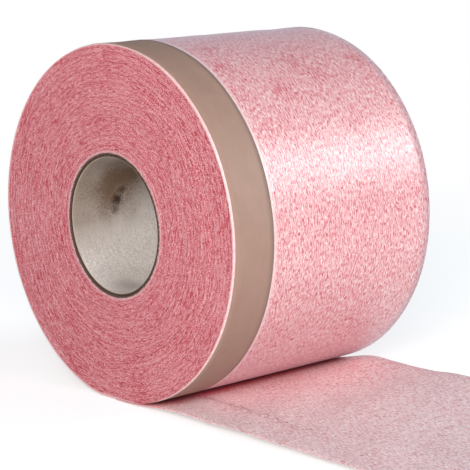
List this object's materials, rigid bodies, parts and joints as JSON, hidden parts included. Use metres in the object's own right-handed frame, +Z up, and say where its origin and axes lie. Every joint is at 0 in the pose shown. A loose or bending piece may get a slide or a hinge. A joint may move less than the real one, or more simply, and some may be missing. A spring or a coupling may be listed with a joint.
{
  "type": "vapour barrier roll",
  "caption": "Roll of narrow fleece-faced vapour barrier membrane on a cardboard core, with a paper liner strip along one edge and its loose end lying on the floor.",
  "frame": {"origin": "middle of the core's bore, on the roll's axis, halfway along the roll", "axes": "+Y along the roll's axis, away from the end that the liner strip lies beside; +X the way the loose end runs; +Z up from the floor"},
  "size_m": [0.3597, 0.15, 0.1992],
  "materials": {
    "core_board": "matte",
    "fleece_membrane": "matte",
    "liner_paper": "satin"
  },
  "bodies": {
    "root": {"core_tube": "core_board", "membrane": "fleece_membrane", "release_liner": "liner_paper"}
  },
  "joints": []
}
